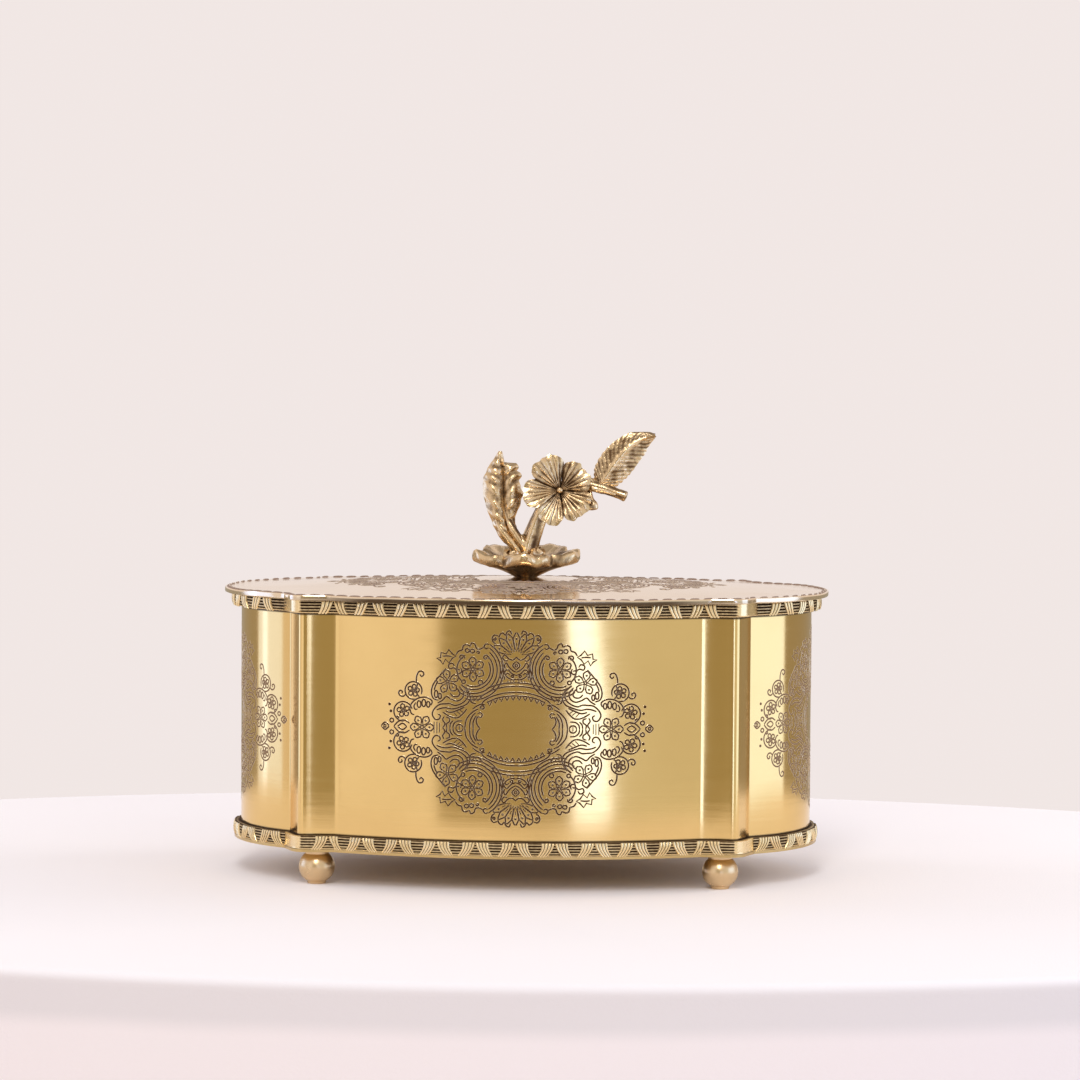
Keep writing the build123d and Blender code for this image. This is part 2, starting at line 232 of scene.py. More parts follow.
def clad(piece, material, nodes, body):
    """Give a piece its metal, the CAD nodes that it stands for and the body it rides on."""
    piece.data.materials.clear()
    piece.data.materials.append(material)
    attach(piece, body)
    if nodes:
        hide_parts(*nodes)


def brushed_sheet(name, colour, dull, roughness, grain):
    """Satin sheet brass with fine level brushing, clouds of wear, slow waves and painted shade in its corners."""
    sheet = Finish(name)
    brushing = sheet.mottle(420, 2, grain)
    clouds = sheet.mottle(26, 4)
    waves = sheet.mottle(14, 1)
    # Painted shade, dark brown, where the grid marks it: lines along the wall's borders and along the lid's lip.
    painted_shade = sheet.step(sheet.patina_and_shade() + clouds * 0.3, 0.2, 1.2)
    tint = sheet.blend(sheet.step(clouds, 0.35, 0.75) * 0.5, colour, dull)
    relief = brushing * 0.005 + waves * 0.30
    return sheet.set(
        Base_Color=sheet.blend(painted_shade, tint, (0.09, 0.055, 0.027, 1)),
        Metallic=1.0,
        Roughness=roughness + sheet.step(clouds, 0.3, 0.8) * 0.05 + brushing * 0.08 + painted_shade * 0.2,
        Normal=sheet.bump(relief, 1.0),
    )


wall_brass = brushed_sheet(
    "satin_wall_brass", (0.80, 0.55, 0.22, 1), (0.73, 0.49, 0.185, 1), 0.075, (0.05, 0.05, 1.6)
)
wall_path, wall_ways = outline(half_length, half_width, wall_corners, (1.5, 4.0, 1.5))
# Rows of the wall: how far each lies outside the plan, its level and its painted shade along the borders' edges.
wall_section = [
    (0, wall_foot, 0), (0, 20.9, 1), (0, 21.7, 0), (0, 22.4, 0), (0, 67, 0), (0, 110.4, 0), (0, 111.2, 0),
    (0, 111.9, 1), (0, wall_mouth, 0), (-wall_sheet, wall_mouth, 0), (-wall_sheet, wall_foot, 0),
    (0, wall_foot, 0),
]


def hollowed(x, y):
    """Level place of a point of the wall, where the faces of the ears are a little hollow."""
    share = (abs(x) - wall_corners[0][0]) / (wall_corners[1][0] - wall_corners[0][0])
    depth = 4 * ear_hollow * share * (1 - share) if 0 < share < 1 else 0.0
    return y - depth * (1 if y > 0 else -1)


def on_wall_section(i, j):
    """Corner of the wall's sheet."""
    point, way = wall_path[i % len(wall_path)], wall_ways[i % len(wall_path)]
    grow, level, painted_shade = wall_section[j]
    return point[0] + way.x * grow, hollowed(*point) + way.y * grow, level, painted_shade


wall = laid_grid("wall_sheet", len(wall_path), len(wall_section) - 1, on_wall_section, 22)
clad(wall, wall_brass, ["body_wall"], "box")

# Engraving. Arabesque medallions are cut with a graver into the front, back and ends of the wall: a burr
# stands at each side of a cut, and the bottom of the cut is dark with patina. One quarter is drawn and
# mirrored.
medallion_level = 67.0
end_medallion = (0.94, 0.97)
cut_reach = 0.40
cut_step = 0.75
cut_sink = 0.015
burr_height = 0.06
crease_reach = asin(wall_corners[0][0] / front_radius) * front_radius


def between(a, b, c, d, t):
    """Value on the smooth curve between b and c, with a before them and d after."""
    return 0.5 * (2 * b + (c - a) * t + (2 * a - 5 * b + 4 * c - d) * t**2 + (3 * b - a - 3 * c + d) * t**3)


def oval(x, y, wide, high=None, start=0, end=360):
    """Points along an oval or a part of one. It is round where no height is given."""
    return arc_points(x, y, wide, high or wide, start, end, cut_step, 6)


def curl(x, y, radius, start, turn, count=14):
    """Spiral that winds in to its middle."""
    shares = [i / count for i in range(count + 1)]
    return [polar(x, y, radius * (1 - 0.75 * t), radians(start + turn * t)) for t in shares]


def line(*points):
    """Smooth line through points."""
    made = []
    ends = [points[0], *points, points[-1]]
    for spots in zip(ends, ends[1:], ends[2:], ends[3:]):
        count = max(2, ceil(apart(spots[1], spots[2]) / cut_step))
        made += [tuple(between(*values, i / count) for values in zip(*spots)) for i in range(count)]
    return made + [points[-1]]


def petal(x, y, near, far, half, angle):
    """Outline of one petal with shoulders and a blunt tip."""
    a = radians(angle)
    long = far - near
    side = ((near, 0), (near + long * 0.4, half * 0.85), (near + long * 0.72, half), (far, half * 0.25))
    shape = side + tuple((r, -s) for r, s in reversed(side))
    return [(x + r * cos(a) - s * sin(a), y + r * sin(a) + s * cos(a)) for r, s in shape]


def blossom(x, y, petals, far, half, turn, eye=0.6):
    """Cuts of a flower: an eye, and petals with a dot in each of the larger ones."""
    cuts = [oval(x, y, eye)]
    for i in range(petals):
        angle = turn + 360 * i / petals
        cuts.append(petal(x, y, eye * 1.3, far, half, angle))
        if far > 3:
            cuts.append(oval(*polar(x, y, far * 0.64, radians(angle)), 0.2))
    return cuts


def palm_leaf(base, length, angle):
    """One leaf of a palmette, with a rib and a dot."""
    a = radians(angle)
    return [
        petal(0, base, 2.5, length, 1.35, angle),
        [polar(0, base, 4.6, a), polar(0, base, length * 0.6, a)],
        oval(*polar(0, base, length * 0.76, a), 0.22),
    ]


quarter = [
    line((0, 17.5), (4.3, 17.2), (8.8, 16.1), (12.9, 14.1), (15.6, 11.5)),
    line((0, 18.9), (4.6, 18.6), (9.2, 17.5), (12.4, 16.2)),
    line((0, 15), (4.3, 14.7), (8.8, 13.6), (12.4, 11.9), (14, 10.3)),
    line((0, 13.6), (4.3, 13.3), (8.8, 12.2), (12, 10.6)),
    *[[(u - 0.95, v + 0.1), (u - 0.5, v - 0.85), (u, v - 1.8), (u + 0.5, v - 0.9), (u + 0.95, v)]
      for u, v in ((1.23, 13.6), (3.68, 13.4), (6.1, 13), (8.5, 12.3), (10.8, 11.3))],
    line((14.7, 0), (15.8, 1.4), (16.3, 3.2), (15.6, 4.8), (14.3, 4.6), (13.8, 5.7), (14.7, 6.5), (15.8, 5.9)),
    line((17.5, 0), (17.6, 2.4), (16.9, 4.2), (16.2, 5.2)),
    line((19, 0), (18.8, 2.8), (17.9, 4.9), (16.6, 6.4)),
    line((21, 0), (20.5, 3.2), (19.2, 5.3), (17.4, 7), (15.4, 8)),
    curl(13.7, 8.5, 1.1, -40, 420),
    line((12.6, 9.6), (14.2, 10), (16, 9.2), (17.8, 7.9)),
    [(16, 12.8), (17.4, 11)],
    [(15.4, 11.2), (17.8, 12.6)],
    line((16.4, 10.2), (18.2, 10.6), (18.8, 12.4), (17.8, 13.6)),
    *[oval(17.5, 24, r, r, *ends)
      for r, *ends in ((12.3, 122, 286), (11, 126, 306), (9.7, 132, 306), (8.1, 128, 310), (6.9, 152, 296))],
    curl(12.6, 29, 1.2, 210, -420),
    oval(17.5, 24, 6.9, 6.6, -48, 60),
    *blossom(17.8, 24.2, 6, 4.9, 1.45, 28, 0.65),
    oval(14.6, 18.9, 0.9),
    oval(21.6, 19, 0.8),
    curl(22.4, 28.9, 1.3, 200, -400),
    curl(23.6, 23.4, 1.4, 120, 400),
    line((11.2, 34.3), (12.4, 34.6), (13.3, 33.4), (12.2, 32.6), (11.4, 33.2)),
    *palm_leaf(29.2, 10.2, 69),
    *palm_leaf(29.2, 10.3, 48),
    *palm_leaf(29.2, 10.2, 27),
    line((2, 38.6), (2.6, 40), (3.8, 39.6), (4.6, 38.2), (5.6, 39.2), (6.8, 38.4), (7.2, 37)),
    line((8.4, 34.6), (9.6, 35.6), (9.9, 37.2), (8.8, 38.3), (7.4, 37.8)),
    curl(8.9, 36.6, 0.7, 90, 380),
    line((0, 29.4), (1.4, 28.2), (3.2, 28.7), (4.6, 30.2), (5.6, 29.2), (4.6, 27.8), (3.4, 28)),
    line((0, 27.6), (1.5, 26), (0, 24.2)),
    line((0, 26.6), (0.6, 26), (0, 25.2)),
    line((0, 23.2), (1.6, 24), (3.2, 25.6), (4, 27), (4.8, 26), (4.4, 24.6)),
    line((0, 21.9), (1.8, 22.6), (3.4, 24.2), (4.6, 23.6), (4.8, 22.2)),
    line((0, 20.4), (1.6, 20.2), (3.2, 20.8), (4.4, 22), (3.6, 22.8), (2.7, 22)),
    curl(1.6, 21.3, 0.7, 0, 380),
    line((5.6, 19.4), (6.4, 21.2), (5.8, 23.6), (5.6, 25.8), (6.2, 27.6)),
    line((5, 20), (4.8, 21), (5.6, 22.2)),
    *[[(u, 18.9 - u * u * 0.018), (u, 20.0 - u * u * 0.018)] for u in (1, 2.2, 3.4)],
    *blossom(28.2, 18.9, 5, 4.8, 1.45, 82, 0.6),
    line((28.9, 24.3), (31.4, 21.4), (34.1, 17.9), (35, 14.6), (34.2, 12), (32, 11.2)),
    line((32.3, 19), (33.4, 16.8), (33.8, 15.2)),
    oval(33, 13.7, 0.7, 1.5),
    oval(31.4, 12.9, 0.6, 1.2),
    line((24.2, 23.4), (25.6, 24.6), (27.4, 24.2), (27.8, 25.8), (26.2, 26.4), (25.4, 25.2)),
    line((22.4, 17.8), (20.3, 15.5), (20, 12.5), (22.2, 10.2), (25.1, 9.2), (26.9, 9.9), (28.8, 9.8), (31.4, 9.5),
         (33.6, 7.8), (34.6, 5.5), (33.4, 3.4), (31.7, 3.5), (31.2, 5), (32.3, 5.6)),
    line((23.4, 17), (21.6, 14.8), (22, 12.4), (24.2, 11.1), (26.9, 11.9), (28.7, 12.8), (30.4, 11.2),
         (32.4, 10)),
    line((24.4, 16.4), (23.1, 14.6), (23.8, 13), (25.8, 12.9), (27.2, 14.2)),
    line((32.8, 7.2), (31, 7.9), (28.6, 8.2), (26, 7.8), (22.8, 8.7), (20.2, 9.9), (18.9, 12), (19.2, 14.4),
         (21, 17)),
    line((30.2, 6.4), (27.2, 4.7), (24.2, 4.2), (22, 5.7), (20.2, 7.9)),
    line((29, 6.9), (26.6, 6.4), (23.8, 7.4), (21.2, 8.6)),
    [(25.6, 6.3), (24.2, 4.9)],
    [(24.4, 6.9), (22.9, 5.7)],
    [(23.1, 7.4), (21.8, 6.5)],
    [(33.8, 0), (33.8, 2.4)],
    [(32.6, 0), (32.6, 2.4)],
    [(31.5, 0), (31.5, 2)],
    line((29.6, 4.6), (30.2, 3.2), (29.2, 1.6), (30.2, 0)),
    line((28.8, 4.4), (27.4, 3.9), (27.4, 2.6), (28.6, 1.6), (28.4, 0)),
    line((25.8, 3), (26.9, 1.8), (27.2, 0)),
    line((22, 3), (24.2, 2.8), (25.6, 1.6), (25.9, 0)),
    oval(23.2, 0, 1.5, 1.5, 0, 180),
    [(23.2, 0), (23.2, 1)],
    oval(40, 15.4, 1.3, 2.9, -90, 60),
    line((35.2, 9), (34.7, 10.8), (37, 12.2), (40.3, 11.9), (43, 10.1), (44.1, 7.6), (43.4, 5.4),
         (42.2, 5)),
    oval(38.2, 9.9, 0.8, 1.5),
    oval(40.2, 9.4, 0.8, 1.4),
    oval(36.3, 9.4, 0.7, 1.2),
    line((41.6, 10), (42.4, 8.4), (41.8, 7.2), (40.8, 7.4)),
    oval(47, 6.2, 4, 4, -95, 165),
    *blossom(46.9, 6.6, 5, 2.7, 0.9, 80, 0.5),
    line((45.4, 0), (47.2, 1.3), (49.4, 0)),
    line((44.2, 1.4), (46.4, 2.6), (49, 2), (51, 0)),
    oval(51.9, 2.4, 0.85),
    curl(49.4, 3.4, 0.8, 0, 360),
    line((56.5, 0), (54.9, 1.5), (53.3, 0.4), (53.3, 0)),
    oval(54.9, 0, 0.5, 0.6, 0, 180),
    oval(52.9, 9, 0.34),
    oval(52.3, 6.2, 0.34),
    oval(42.6, 14.9, 3.6, 3.6, -105, 205),
    *blossom(42.6, 14.9, 5, 2.5, 0.85, 100, 0.45),
    line((41.4, 18.3), (41.3, 20.6), (40.4, 22.6), (38.9, 22.8), (38.2, 21.6), (39.2, 20.7), (39.9, 21.6)),
    line((45.8, 13.4), (46.9, 12.4), (48.3, 12.6), (49, 13.8), (48.3, 14.8), (47.3, 14.3), (47.7, 13.5)),
    [(24.8, 29.4), (26.2, 30.2), (27.8, 32), (28.9, 30.2), (31, 30.8), (31.2, 28.6), (32.8, 28.4), (31.2, 27.4),
     (30.2, 25.9), (29.2, 28), (27.6, 26.6), (26.4, 28.4), (24.8, 29.4)],
    line((26.4, 29.2), (28.4, 29.4), (30.4, 29.2)),
    line((13.4, 33.2), (15, 32.4), (16.4, 32.8), (17, 34.4), (18.4, 34.9), (18.9, 33.6), (20.4, 34.2),
         (21.8, 33.6), (22.2, 32), (23.8, 31.4), (24.8, 29.9)),
    oval(18, 31.6, 0.9, 0.8),
    oval(20.1, 31.8, 0.9, 0.8),
    curl(15.6, 31, 0.7, 0, 360),
]
across_cuts = blossom(38.9, 0, 6, 4.9, 1.45, 0, 0.7)
upright_cuts = palm_leaf(29.2, 10.0, 90)


def mirrored_cuts():
    """All the cuts of a medallion."""
    cuts = []
    for side in (1, -1):
        cuts += [[(side * u, v) for u, v in cut] for cut in across_cuts]
        cuts += [[(u, side * v) for u, v in cut] for cut in upright_cuts]
        for rise in (1, -1):
            cuts += [[(side * u, rise * v) for u, v in cut] for cut in quarter]
    return cuts


def placed(name, data):
    """New object in the scene."""
    piece = bpy.data.objects.new(name, data)
    bpy.context.scene.collection.objects.link(piece)
    return piece


def engraved(name, cuts, place, reach, burr):
    """Mesh of graver's cuts, each with a burr at both sides and a dark bottom. Each bar of a cut has its way
    out from the middle, its rise and its darkness."""
    bars = ((-1, 0, 0.0), (-0.76, 1, 0.34), (0, 0.25, 1.0), (0.76, 1, 0.34), (1, 0, 0.0))
    spots, faces, hollows = [], [], []
    for cut in cuts:
        last = len(cut) - 1
        closed = apart(cut[0], cut[last]) < 0.01
        for i, (u, v) in enumerate(cut):
            before = cut[max(i - 1, 0)] if not closed or i else cut[last - 1]
            after = cut[min(i + 1, last)] if not closed or i < last else cut[1]
            length = apart(before, after) or 1
            side_u, side_v = -(after[1] - before[1]) / length, (after[0] - before[0]) / length
            end = 1.0 if closed else min(1.0, 0.6 + 0.3 * min(i, last - i))
            for out, rise, dark in bars:
                wide = out * reach * end
                spots.append(place(u + side_u * wide, v + side_v * wide, burr * rise - cut_sink))
                hollows.append(dark)
            if i:
                start = len(spots) - 10
                faces += [(k, k + 5, k + 6, k + 1) for k in range(start, start + 4)]
    mesh = bpy.data.meshes.new(name)
    mesh.from_pydata([(x * mm, y * mm, z * mm) for x, y, z in spots], [], faces)
    mesh.attributes.new("patina_and_shade", "FLOAT", "POINT").data.foreach_set("value", hollows)
    piece = placed(name, mesh)
    picked(piece)
    bpy.ops.object.shade_smooth_by_angle(angle=radians(40))
    return piece


def front_spot(side):
    """Spots of the front or the back, by their length from its middle and their height above the metal."""
    def spot(s, out):
        if abs(s) <= crease_reach:
            a = s / front_radius
            x, y = (front_radius + out) * sin(a), half_width - front_radius + (front_radius + out) * cos(a)
        else:
            crease, ear = wall_corners[:2]
            past, run = abs(s) - crease_reach, apart(crease, ear)
            way = ((ear[0] - crease[0]) / run, (ear[1] - crease[1]) / run)
            x = (1 if s > 0 else -1) * (crease[0] + way[0] * past - way[1] * out)
            y = crease[1] + way[1] * past + way[0] * out
        return side * x, -side * y
    return spot


def end_spot(side):
    """The same on an end lobe."""
    def spot(s, out):
        x, y = polar(half_length - end_radius, 0, end_radius + out, s / end_radius)
        return side * x, side * y
    return spot


def on_lobe(spot, wide=1, high=1):
    """Place of a cut on a lobe of the wall. On an end, the medallion is drawn a little smaller."""
    def place(u, v, out):
        return *spot(u * wide, out), medallion_level + v * high
    return place


def graved_finish(name, bright, deep):
    """Bright burrs beside cuts with patina in them."""
    graved = Finish(name)
    patchy = graved.mottle(300, 2)
    sunk = graved.step(graved.patina_and_shade() + patchy * 0.16 - 0.08, 0.10, 0.40)
    return graved.set(
        Base_Color=graved.blend(sunk, bright, deep),
        Metallic=1 - sunk,
        Roughness=0.24 + sunk * 0.6,
        Specular_IOR_Level=0.08,
        Normal=graved.bump(patchy, 0.04),
    )


graved_brass = graved_finish("graved_brass", (1.0, 0.84, 0.58, 1), (0.062, 0.027, 0.009, 1))
end_graved = graved_finish("graved_end_brass", (1.0, 0.84, 0.58, 1), (0.19, 0.115, 0.065, 1))
for name, place, finish in (
    ("front", on_lobe(front_spot(1)), graved_brass),
    ("back", on_lobe(front_spot(-1)), graved_brass),
    ("right", on_lobe(end_spot(1), *end_medallion), end_graved),
    ("left", on_lobe(end_spot(-1), *end_medallion), end_graved),
):
    medallion = engraved("engraving_" + name, mirrored_cuts(), place, cut_reach, burr_height)
    clad(medallion, finish, [], "box")

# Floor. A plate of sheet brass under the wall, whose edge shows as a plain lip below the lower border.
# Slotted screws go down through it into the feet.
floor_brass = brushed_sheet("floor_brass", (0.62, 0.44, 0.19, 1), (0.45, 0.31, 0.14, 1), 0.26, (0.08, 1.4, 0.2))
screw_brass = brushed_sheet("screw_brass", (0.70, 0.50, 0.24, 1), (0.5, 0.34, 0.15, 1), 0.24, (1.0, 1.0, 0.2))
for node, material in (
    ("floor_plate", floor_brass),
    ("lid_flange", floor_brass),
    ("foot_screws", screw_brass),
    ("finial_screw", screw_brass),
    ("finial_washer", screw_brass),
):
    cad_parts[node].data.materials.clear()
    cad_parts[node].data.materials.append(material)

# Borders. Stamped brass strips soldered round the foot and the mouth of the wall: reeds that run level, with
# leaves wrapped over them that lean left and right by turns. Dark patina stays between the reeds. Ears are
# plain.
borders = {
    "lower": dict(base=15.2, height=5.5, crest=2.9, pitch=8.0, counts=(22, 14), half=2.45, lean=1.3, ribs=4),
    "upper": dict(base=112.6, height=5.9, crest=3.8, pitch=8.6, counts=(20, 12), half=2.35, lean=1.0, ribs=3),
}
reeds = 4
reed_points = 6
bead = 0.13
plain_from = (88.6, 46.5)
leaf_height = 0.6
leaf_columns, leaf_rows = 20, 5
end_pitch = 0.97
border_path, border_ways = outline(half_length, half_width, wall_corners, (0, 4.0, 0))

antique = Finish("antique_border_brass")
grime = antique.mottle(700, 3)
drift = antique.mottle(45, 2)
# The stain holds patina between the reeds and painted shade along each border's top edge.
stain_and_shade = antique.step(antique.patina_and_shade() + grime * 0.3 + drift * 0.2 - 0.25, 0.2, 0.9)
leaf_gold = antique.blend(drift, (0.95, 0.76, 0.44, 1), (0.82, 0.60, 0.30, 1))
border_brass = antique.set(
    Base_Color=antique.blend(stain_and_shade, leaf_gold, (0.036, 0.014, 0.004, 1)),
    Metallic=1 - stain_and_shade * 0.8,
    Roughness=0.20 + stain_and_shade * 0.5 + grime * 0.1,
    Specular_IOR_Level=0.1,
    Normal=antique.bump(grime, 0.05),
)


def border_reeds(name, border):
    """Closed band of reeds round the wall, with a bead along its foot and plain ears."""
    rows = reeds * reed_points
    section = [(0, 1.0, 0.0), (0.62, 0.5, 0.0), (0.95, 0.1, 0.03), (0.98, 0.0, 0.07), (0.9, 0.4, 0.11)]
    for j in range(rows + 1):
        ridge = abs(sin(pi * reeds * j / rows))
        out, level = 0.94 - 0.16 * (1 - ridge**0.7), bead + (1 - bead) * j / rows * 0.96
        section.append((out, 1.0 - 0.55 * ridge**2, level))
    # The top two rows are painted shade along the border's top edge.
    section += [(0.62, 0.6, 0.99), (0, 1.0, 1.0)]

    def place(i, j):
        point, way = border_path[i % len(border_path)], border_ways[i % len(border_path)]
        plain = abs(point[0]) > plain_from[0] and abs(point[1]) > plain_from[1]
        reach, patina_and_shade, share = section[j]
        if plain and 3 < j < len(section) - 2:
            reach, patina_and_shade = 0.94, 0.12
        out = max(0.1, border["crest"] * reach)
        level = border["base"] + border["height"] * share
        return point[0] + way.x * out, (point[1] if reach else hollowed(*point)) + way.y * out, level, patina_and_shade

    return laid_grid(name, len(border_path), len(section) - 1, place, 50)


def wrapped_leaf(border, middle, lean, spot):
    """One leaf wrapped over the reeds, with ribs along it."""
    def place(i, j):
        across, up = 2 * i / leaf_columns - 1, j / leaf_rows
        s = middle + across * border["half"] * (0.84 + 0.26 * up)
        s += lean * border["lean"] * (2 * up - 1 + 0.5 * sin(pi * up))
        swell = max(0.0, sin(pi * (0.05 + 0.9 * up))) ** 0.3
        rib = 0.5 + 0.5 * cos(border["ribs"] * pi * (across + 1 + 1 / border["ribs"]) * 0.97)
        side = 0.0 if abs(across) == 1 else 1.0
        out = border["crest"] - 0.75 + (0.6 + leaf_height * (0.35 + 0.65 * rib)) * swell * side
        patina_and_shade = max(0.0, 0.95 - 2.4 * rib) if side else 0.9
        return *spot(s, out), border["base"] - 0.25 + (border["height"] + 0.1) * up, patina_and_shade

    return laid_grid("leaf", leaf_columns, leaf_rows, place, 60)


def joined(name, pieces):
    """One piece of many like ones."""
    picked(*pieces)
    bpy.ops.object.join()
    whole = bpy.context.object
    whole.name = name
    whole.data.name = name
    return whole


for name, border in borders.items():
    nodes = [f"{name}_border_{side}" for side in ("front", "back", "left", "right")]
    clad(border_reeds(name + "_reeds", border), border_brass, nodes, "box")
    leaves = []
    for side in (1, -1):
        for spot, count, stretch in zip((front_spot(side), end_spot(side)), border["counts"], (1, end_pitch)):
            for i in range(count):
                middle = (i - (count - 1) / 2) * border["pitch"] * stretch
                leaves.append(wrapped_leaf(border, middle, -1 if i % 2 else 1, spot))
    clad(joined(name + "_leaves", leaves), border_brass, [], "box")

# Feet. Turned brass balls with a small flat under each and a collar on top, satin finished, and screwed on.
foot_out = (83.4, 51)
foot_facets = 48
foot_side = [(0, 0), (3, 0), (3.7, 0.05)]
foot_turns = [radians(a) for a in range(-58, 49, 6)]
foot_side += [(7.5 * cos(a), 7.0 + (7.0 if a < 0 else 7.2) * sin(a)) for a in foot_turns]
foot_side += [(4.9, 12.5), (4.9, 12.8), (5.2, 12.9), (5.3, 13.2), (5.3, 13.8), (5.1, 14), (0, 14)]
turned = Finish("turned_foot_brass")
rings = turned.mottle(60, 2, (0.2, 0.2, 14))
cloud = turned.mottle(120, 3)
foot_brass = turned.set(
    Base_Color=turned.blend(cloud, (0.78, 0.59, 0.35, 1), (0.64, 0.45, 0.24, 1)),
    Metallic=1.0,
    Roughness=0.24 + cloud * 0.10,
    Normal=turned.bump(rings * 0.03 + cloud * 0.02, 1.0),
)


def foot_at(x, y):
    """Place of a point of a turned foot."""
    def place(i, j):
        radius, level = foot_side[j]
        return *polar(x, y, radius, 2 * pi * i / foot_facets), level, 0.0
    return place


for name, along, back in (
    ("front_left", -1, -1),
    ("front_right", 1, -1),
    ("back_left", -1, 1),
    ("back_right", 1, 1),
):
    foot_place = foot_at(along * foot_out[0], back * foot_out[1])
    foot = laid_grid("ball_" + name, foot_facets, len(foot_side) - 1, foot_place, 40)
    clad(foot, foot_brass, ["foot_" + name], "box")

# Lid. A sheet of brass cut to a plan like the wall's but larger, raised to a low crown, polished, and
# engraved with a rope near its edge and an arabesque over its middle. It lies on the wall by its own weight.
lid_level = 118.9
lid_thickness = 1.2
crown_height = 4.6
crown_below = 2.8
crown_half = (121, 74)
lid_half = (127.95, 79.1)
lid_medallion_size = 1.5
lid_cut_reach = 0.36
lid_burr_height = 0.12
lid_path, lid_ways = outline(*lid_half, ((78.0, 63.2), (93.0, 64.0), (97.0, 53.0)), (0, 7.0, 6.0), 1.6)


def crown(x, y):
    """Height of the lid's swelling."""
    share = min(1.0, hypot(x / crown_half[0], y / crown_half[1]))
    return crown_height * (1 - share**1.3)


def rim_wave(x, y):
    """Slight waves that the hammer leaves in the lid's edge."""
    a = atan2(y, x)
    near = min(1.0, hypot(x / lid_half[0], y / lid_half[1])) ** 8
    return near * (0.10 * sin(9 * a + 0.6) + 0.07 * sin(23 * a + 1.9))


# Rows of the lid from the middle below, round its turned-down lip, to the middle above: share of the plan,
# rise, how far outside the plan and painted shade.
lid_rows = [
    *[(k / 16, 0, 0, 0) for k in range(16)],
    (1, 0, -1, 0.6), (1, -0.3, -0.8, 1), (1, -0.8, -0.7, 1), (1, -1, -0.4, 1), (1, -0.85, 0, 1),
    (1, -0.5, 0.12, 0.95), (1, 0.3, 0.12, 0.9), (1, 0.6, 0.12, 0.4), (1, 0.9, 0.08, 0.1), (1, 1.17, -0.05, 0),
    *[(1 - (k / 24) ** 1.15, lid_thickness, 0, 0) for k in range(25)],
]


def on_lid_sheet(i, j):
    """The lid's sheet. Its lip has painted shade on the long sides and is bright towards the ends."""
    share, rise, grow, painted_shade = lid_rows[j]
    point, way = lid_path[i % len(lid_path)], lid_ways[i % len(lid_path)]
    grow -= 0.12 * (share == 1)
    # Painted shade on the lip, fading out towards the ends.
    painted_shade *= 1 - 0.8 * min(1.0, max(0.0, (abs(point[0]) - 60) / 40))
    x, y = point[0] * share + way.x * grow, point[1] * share + way.y * grow
    swell = crown(x, y) * (crown_below / crown_height if rise <= 0 else 1)
    return x, y, lid_level + rise + swell + rim_wave(x, y), painted_shade


lid_brass = brushed_sheet(
    "polished_lid_brass", (0.88, 0.71, 0.49, 1), (0.79, 0.62, 0.42, 1), 0.09, (0.05, 1.2, 0.2)
)
lid = laid_grid("lid_sheet", len(lid_path), len(lid_rows) - 1, on_lid_sheet, 35)
clad(lid, lid_brass, ["lid_plate"], "lid")


def lid_top(x, y, out):
    """Level of a spot at a height above the lid."""
    return lid_level + lid_thickness + crown(x, y) + rim_wave(x, y) + out


def on_lid(u, v, out):
    """Place of a cut on the lid, where the medallion is drawn half as large again."""
    x, y = u * lid_medallion_size, v * lid_medallion_size
    return x, y, lid_top(x, y, out)


lid_graved = graved_finish("lid_graved_brass", (0.90, 0.76, 0.58, 1), (0.29, 0.205, 0.165, 1))
lid_medallion = engraved("lid_arabesque", mirrored_cuts(), on_lid, lid_cut_reach, lid_burr_height)
clad(lid_medallion, lid_graved, [], "lid")

rope_inset = 1.7
rope_pitch = 5.9
inset = [(p[0] - w.x * rope_inset, p[1] - w.y * rope_inset) for p, w in zip(lid_path, lid_ways)]


def rope_strand(start_x, start_y, way):
    """One raised strand of the rope, dark along its sides."""
    def place(i, j):
        along, across = i / 3 - 1, j / 2 - 1
        a = along * 2.3
        b = across * (0.75 - 0.3 * along**2) + along * 0.55
        x, y = start_x + way[0] * a - way[1] * b, start_y + way[1] * a + way[0] * b
        edge = abs(across) == 1 or abs(along) == 1
        rise = -0.02 if edge else 0.46 - 0.15 * along**2
        return x, y, lid_top(x, y, rise), 0.45 if edge else 0.68 * abs(across)
    return laid_grid("strand", 6, 4, place, 70)


rope_length = sum(apart(p, q) for p, q in zip(inset, inset[1:] + inset[:1]))
even_pitch = rope_length / round(rope_length / rope_pitch)
rope_strands = []
gone, due = 0.0, 0.0
for p, q in zip(inset, inset[1:] + inset[:1]):
    run = apart(p, q)
    way = ((q[0] - p[0]) / run, (q[1] - p[1]) / run)
    while due < gone + run:
        rope_strands.append(rope_strand(p[0] + way[0] * (due - gone), p[1] + way[1] * (due - gone), way))
        due += even_pitch
    gone += run
clad(joined("lid_rope", rope_strands), lid_graved, [], "lid")

# Finial. One bunch of brass castings with a dark antique finish: a dish of five thick petals on a neck, a
# stem with a side branch, two leaves, an open flower with a ball in its middle and a bud. Each is brazed to
# the stem.
seat = 122.9
dish_petals = 5
dish_petal_middle = 12.6
dish_petal_radius = 10.7
dish_turn = -84
dish_limit = 23.2
dish_facets = 180
rod_facets = 28
leaf_half_columns = 16
leaf_top = 62.9
cast = Finish("antique_cast_brass")
pitted = cast.mottle(1100, 4)
worn = cast.mottle(160, 3)
# The dark mask holds patina in the hollows, and painted shade under the dish and on the flower's right-hand
# petals.
dark = cast.step(cast.patina_and_shade() + worn * 0.4 + pitted * 0.35 - 0.4, 0.1, 0.95)
gold = cast.blend(worn, (0.90, 0.69, 0.42, 1), (0.60, 0.41, 0.21, 1))
cast_brass = cast.set(
    Base_Color=cast.blend(dark, gold, (0.12, 0.062, 0.024, 1)),
    Metallic=1 - dark * 0.2,
    Roughness=0.15 + dark * 0.25 + pitted * 0.10,
    Normal=cast.bump(pitted * 0.5 + worn, 0.2),
)


